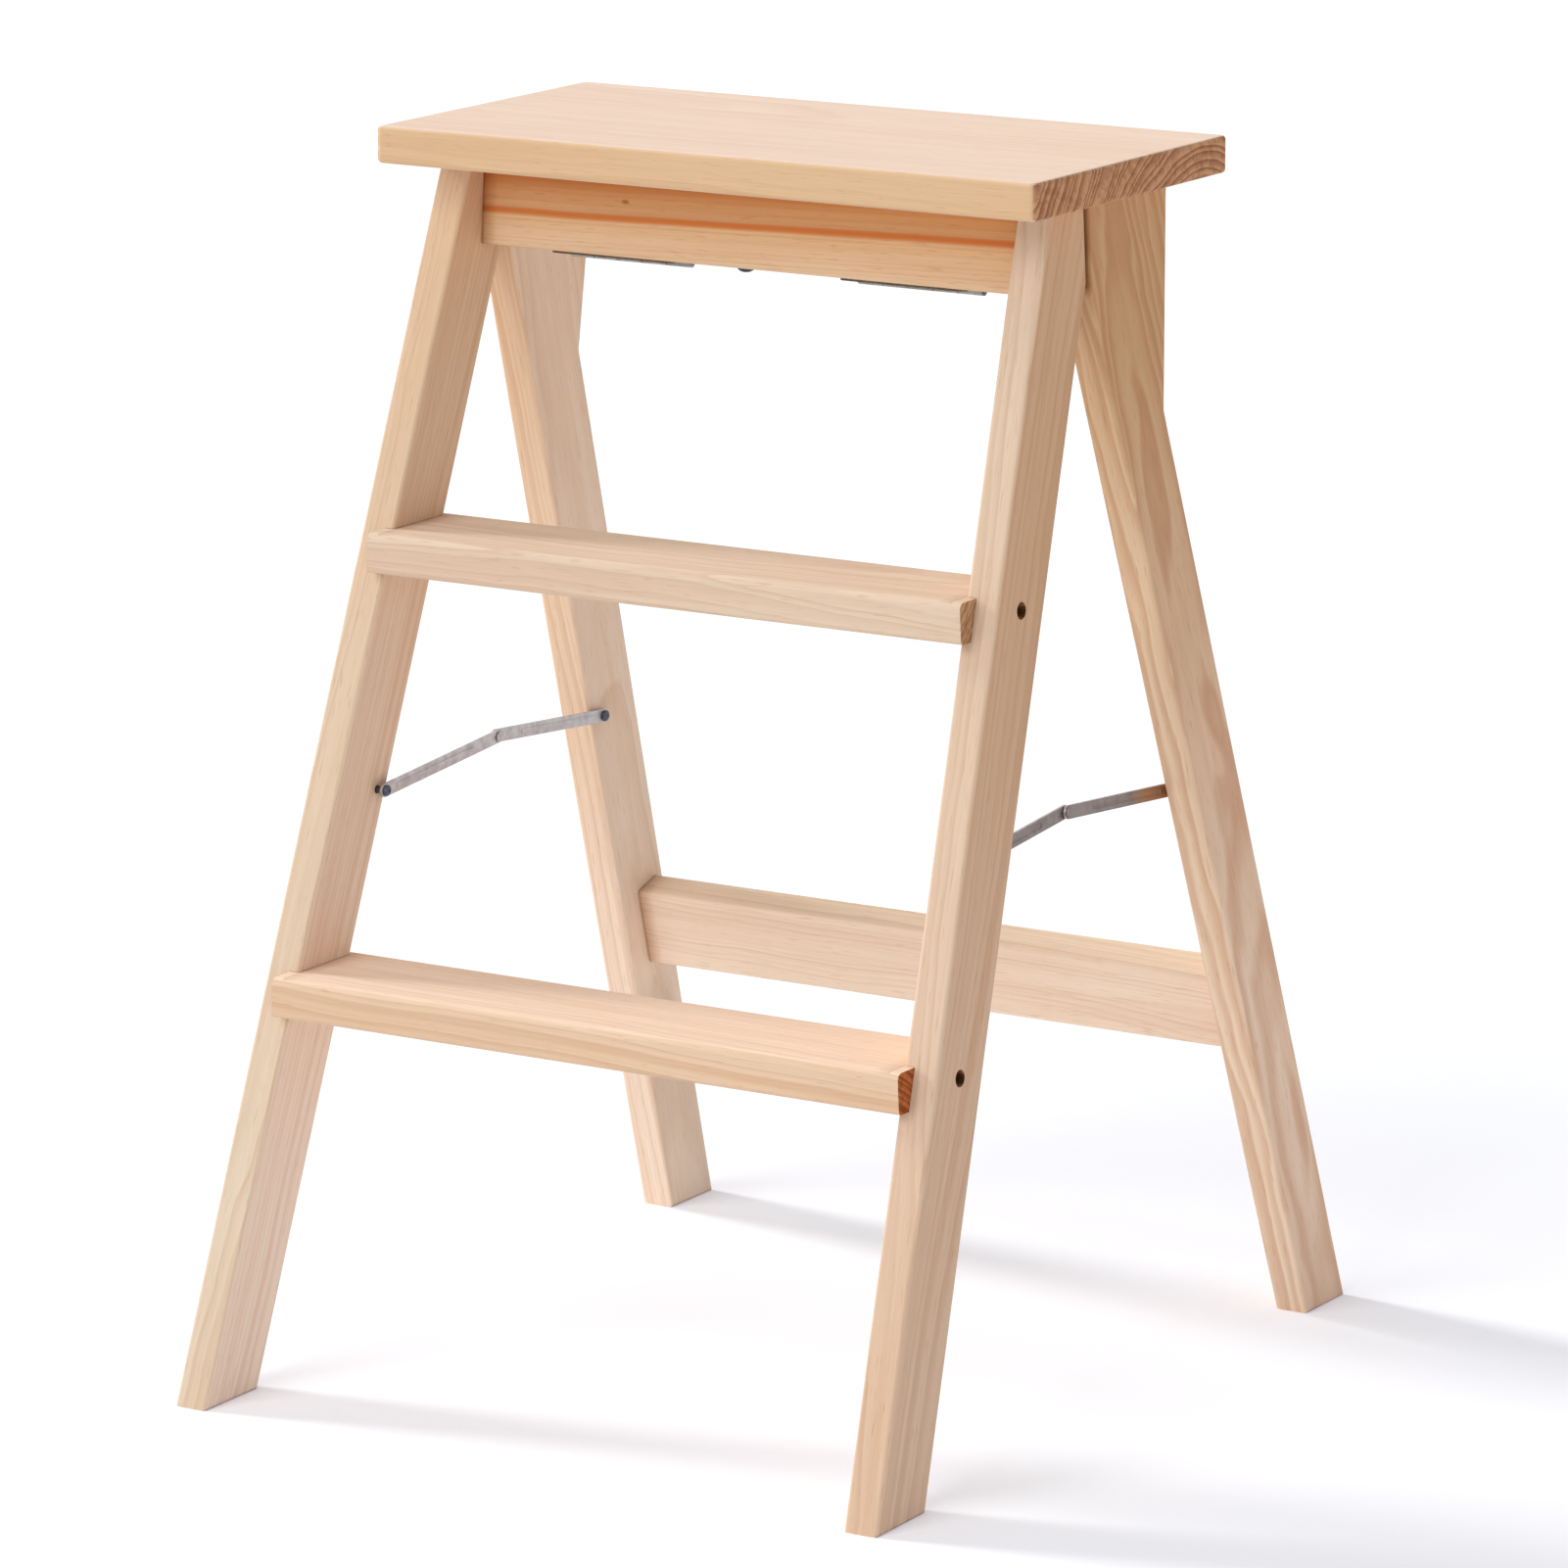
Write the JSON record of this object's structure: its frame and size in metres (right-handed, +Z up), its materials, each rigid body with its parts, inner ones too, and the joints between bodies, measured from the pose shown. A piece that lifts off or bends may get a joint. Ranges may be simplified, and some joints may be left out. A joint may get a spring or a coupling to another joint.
{
  "type": "folding step stool",
  "caption": "Folding wooden step stool with a flat seat, two treads, a hinged rear frame and folding metal stays.",
  "frame": {"origin": "centre of the footprint at floor level, between the four feet", "axes": "+Z up, +X to the right of a person who climbs it, +Y from the front frame to the rear frame"},
  "size_m": [0.4112, 0.484, 0.63],
  "materials": {
    "pine_seat": "clear satin lacquer",
    "pine_frame": "clear satin lacquer",
    "stay_steel": "zinc plated",
    "hinge_steel": "zinc plated",
    "screw_steel": "dark plated"
  },
  "bodies": {
    "front_frame": {"seat_board": "pine_seat", "front_apron": "pine_frame", "right_front_stringer": "pine_frame", "left_front_stringer": "pine_frame", "middle_tread": "pine_frame", "lower_tread": "pine_frame", "right_middle_tread_screw": "screw_steel", "left_middle_tread_screw": "screw_steel", "right_lower_tread_screw": "screw_steel", "left_lower_tread_screw": "screw_steel", "left_hinge_front_leaf": "hinge_steel", "right_hinge_front_leaf": "hinge_steel", "left_hinge_pin": "hinge_steel", "right_hinge_pin": "hinge_steel", "hinge_front_screw_1": "screw_steel", "hinge_front_screw_2": "screw_steel", "hinge_front_screw_3": "screw_steel", "hinge_front_screw_4": "screw_steel", "hinge_front_screw_5": "screw_steel", "hinge_front_screw_6": "screw_steel", "apron_screw": "screw_steel", "right_stay_front_screw": "screw_steel", "left_stay_front_screw": "screw_steel"},
    "rear_frame": {"upper_rear_rail": "pine_frame", "lower_rear_rail": "pine_frame", "right_rear_leg": "pine_frame", "left_rear_leg": "pine_frame", "left_hinge_rear_leaf": "hinge_steel", "right_hinge_rear_leaf": "hinge_steel", "hinge_rear_screw_1": "screw_steel", "hinge_rear_screw_2": "screw_steel", "hinge_rear_screw_3": "screw_steel", "hinge_rear_screw_4": "screw_steel", "hinge_rear_screw_5": "screw_steel", "hinge_rear_screw_6": "screw_steel"},
    "left_front_link": {"left_stay_front_link": "stay_steel", "left_stay_rivet": "stay_steel"},
    "left_rear_link": {"left_stay_rear_link": "stay_steel", "left_stay_rear_screw": "screw_steel"},
    "right_front_link": {"right_stay_front_link": "stay_steel", "right_stay_rivet": "stay_steel"},
    "right_rear_link": {"right_stay_rear_link": "stay_steel", "right_stay_rear_screw": "screw_steel"}
  },
  "joints": [
    {"name": "rear_frame_fold", "type": "hinge", "parent": "front_frame", "child": "rear_frame", "pos_m": [0, 0.00256, 0.5624], "axis": [-1, 0, 0], "range_deg": [0, 38]},
    {"name": "left_stay_front_pivot", "type": "hinge", "parent": "front_frame", "child": "left_front_link", "pos_m": [-0.16887, -0.10242, 0.2955], "axis": [0.9989, 0, -0.0461], "range_deg": [0, 60.7]},
    {"name": "left_stay_middle_pivot", "type": "hinge", "parent": "left_front_link", "child": "left_rear_link", "pos_m": [-0.16848, 0.00201, 0.3041], "axis": [-0.9989, 0, 0.0461], "range_deg": [0, 157.7]},
    {"name": "right_stay_front_pivot", "type": "hinge", "parent": "front_frame", "child": "right_front_link", "pos_m": [0.16887, -0.10242, 0.2955], "axis": [0.9989, 0, 0.0461], "range_deg": [0, 60.7]},
    {"name": "right_stay_middle_pivot", "type": "hinge", "parent": "right_front_link", "child": "right_rear_link", "pos_m": [0.16848, 0.00201, 0.3041], "axis": [-0.9989, 0, -0.0461], "range_deg": [0, 157.7]}
  ],
  "couplings": [
    {"joint": "left_stay_front_pivot", "follows": "rear_frame_fold", "ratio": 1.5965},
    {"joint": "left_stay_middle_pivot", "follows": "rear_frame_fold", "ratio": 4.1474},
    {"joint": "right_stay_front_pivot", "follows": "rear_frame_fold", "ratio": 1.5965},
    {"joint": "right_stay_middle_pivot", "follows": "rear_frame_fold", "ratio": 4.1474}
  ]
}
